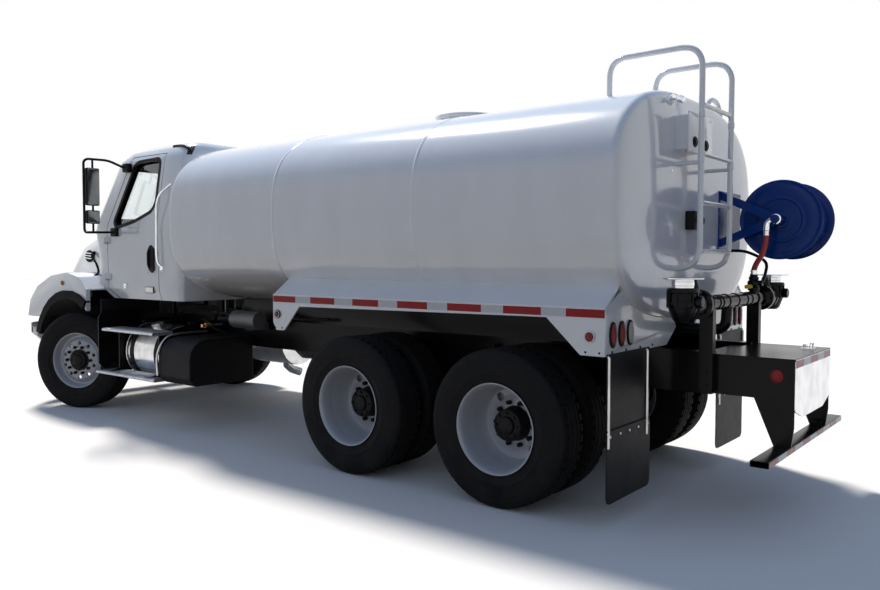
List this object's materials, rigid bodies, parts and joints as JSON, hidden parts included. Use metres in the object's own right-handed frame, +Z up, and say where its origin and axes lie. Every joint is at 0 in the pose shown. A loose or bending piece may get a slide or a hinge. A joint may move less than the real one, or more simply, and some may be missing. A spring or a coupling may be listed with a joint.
{
  "type": "tanker truck",
  "caption": "Bonneted tandem-axle tanker truck with a welded tank, rear ladder, hose reel, spray manifold, tilting hood and opening doors.",
  "frame": {"origin": "middle of the truck's length and width, on the road", "axes": "+X forward, +Y to the driver's left, +Z up"},
  "size_m": [8.262, 2.6726, 2.9768],
  "materials": {
    "white_paint": "gloss white paint",
    "black_paint": "gloss black chassis paint",
    "tyre_rubber": "matt black tyre",
    "grey_wheel_paint": "light grey wheel paint",
    "bright_steel": "polished steel",
    "tread_plate": "serrated aluminium",
    "black_plastic": "grained black plastic",
    "flap_rubber": "smooth black rubber",
    "glass": "clear tinted glass",
    "seat_cloth": "grey seat cloth",
    "reel_paint": "gloss blue paint",
    "hose_rubber": "red hose rubber",
    "grey_iron": "grey cast iron"
  },
  "bodies": {
    "chassis": {"frame": "black_paint", "bumper": "bright_steel", "engine": "grey_iron", "front_axle": "black_paint", "drive_axle_front": "black_paint", "drive_axle_rear": "black_paint", "tandem_suspension": "black_paint", "driveshaft": "black_paint", "fuel_tank": "bright_steel", "steps_left": "tread_plate", "steps_right": "tread_plate", "silencer": "tread_plate", "battery_box": "black_plastic", "cab": "white_paint", "windscreen": "glass", "rear_window": "glass", "seats": "seat_cloth", "dash": "black_plastic", "tank": "white_paint", "side_fender_left": "white_paint", "side_fender_right": "white_paint", "mudflap_left": "flap_rubber", "mudflap_right": "flap_rubber", "ladder": "white_paint", "control_box": "white_paint", "rear_box": "black_paint", "manifold": "black_paint", "reel_frame": "reel_paint", "feed_hose": "hose_rubber", "water_pump": "grey_iron"},
    "steering_wheel": {"steering_wheel": "black_plastic"},
    "hood": {"hood": "white_paint", "grille": "bright_steel"},
    "door_left": {"door_left": "white_paint", "door_glass_left": "glass", "mirror_left": "black_plastic"},
    "door_right": {"door_right": "white_paint", "door_glass_right": "glass", "mirror_right": "black_plastic"},
    "knuckle_left": {"knuckle_left": "black_paint"},
    "knuckle_right": {"knuckle_right": "black_paint"},
    "tie_rod": {"tie_rod": "black_paint"},
    "steer_wheel_left": {"tyre_steer_left": "tyre_rubber", "wheel_steer_left": "grey_wheel_paint"},
    "steer_wheel_right": {"tyre_steer_right": "tyre_rubber", "wheel_steer_right": "grey_wheel_paint"},
    "dual_front_left": {"tyre_front_left_outer": "tyre_rubber", "tyre_front_left_inner": "tyre_rubber", "wheels_front_left": "grey_wheel_paint"},
    "dual_front_right": {"tyre_front_right_outer": "tyre_rubber", "tyre_front_right_inner": "tyre_rubber", "wheels_front_right": "grey_wheel_paint"},
    "dual_rear_left": {"tyre_rear_left_outer": "tyre_rubber", "tyre_rear_left_inner": "tyre_rubber", "wheels_rear_left": "grey_wheel_paint"},
    "dual_rear_right": {"tyre_rear_right_outer": "tyre_rubber", "tyre_rear_right_inner": "tyre_rubber", "wheels_rear_right": "grey_wheel_paint"},
    "manhole_lid": {"manhole_lid": "white_paint"},
    "hose_reel": {"hose_reel": "reel_paint"}
  },
  "joints": [
    {"name": "steer_left", "type": "hinge", "parent": "chassis", "child": "knuckle_left", "pos_m": [3.061, 0.942, 0.515], "axis": [0, 0, 1], "range_deg": [-65, 15]},
    {"name": "steer_right", "type": "hinge", "parent": "chassis", "child": "knuckle_right", "pos_m": [3.061, -0.942, 0.515], "axis": [0, 0, 1], "range_deg": [-65, 15]},
    {"name": "tie_rod_pivot", "type": "hinge", "parent": "knuckle_left", "child": "tie_rod", "pos_m": [2.91505, 0.75809, 0.335], "axis": [0, 0, 1], "range_deg": [-17, 73.6]},
    {"name": "steering_wheel_turn", "type": "hinge", "parent": "chassis", "child": "steering_wheel", "pos_m": [2.001, 0.5, 1.84], "axis": [-0.6222, 0, 0.7828], "range_deg": [-780, 180]},
    {"name": "roll_steer_left", "type": "hinge", "parent": "knuckle_left", "child": "steer_wheel_left", "pos_m": [3.061, 0.942, 0.515], "axis": [-0.4226, 0.9063, 0], "continuous": true},
    {"name": "roll_steer_right", "type": "hinge", "parent": "knuckle_right", "child": "steer_wheel_right", "pos_m": [3.061, -0.942, 0.515], "axis": [-0.4226, 0.9063, 0], "continuous": true},
    {"name": "roll_front_left", "type": "hinge", "parent": "chassis", "child": "dual_front_left", "pos_m": [-1.1985, 0.9205, 0.515], "axis": [0, 1, 0], "continuous": true},
    {"name": "roll_front_right", "type": "hinge", "parent": "chassis", "child": "dual_front_right", "pos_m": [-1.1985, -0.9205, 0.515], "axis": [0, 1, 0], "continuous": true},
    {"name": "roll_rear_left", "type": "hinge", "parent": "chassis", "child": "dual_rear_left", "pos_m": [-2.5195, 0.9205, 0.515], "axis": [0, 1, 0], "continuous": true},
    {"name": "roll_rear_right", "type": "hinge", "parent": "chassis", "child": "dual_rear_right", "pos_m": [-2.5195, -0.9205, 0.515], "axis": [0, 1, 0], "continuous": true},
    {"name": "door_left_swing", "type": "hinge", "parent": "chassis", "child": "door_left", "pos_m": [2.511, 1.045, 1.2], "axis": [0, 0, -1], "range_deg": [0, 68]},
    {"name": "door_right_swing", "type": "hinge", "parent": "chassis", "child": "door_right", "pos_m": [2.511, -1.045, 1.2], "axis": [0, 0, 1], "range_deg": [0, 68]},
    {"name": "hood_tilt", "type": "hinge", "parent": "chassis", "child": "hood", "pos_m": [4.041, 0, 0.93], "axis": [0, 1, 0], "range_deg": [0, 62]},
    {"name": "manhole_lid_swing", "type": "hinge", "parent": "chassis", "child": "manhole_lid", "pos_m": [-1.109, 0, 2.7703], "axis": [0, 1, 0], "range_deg": [0, 110]},
    {"name": "reel_turn", "type": "hinge", "parent": "chassis", "child": "hose_reel", "pos_m": [-3.769, -0.675, 1.885], "axis": [0, 1, 0], "continuous": true}
  ],
  "couplings": [
    {"joint": "steer_right", "follows": "steer_left", "ratio": 1},
    {"joint": "tie_rod_pivot", "follows": "steer_left", "ratio": -1.132},
    {"joint": "steering_wheel_turn", "follows": "steer_left", "ratio": 12}
  ]
}
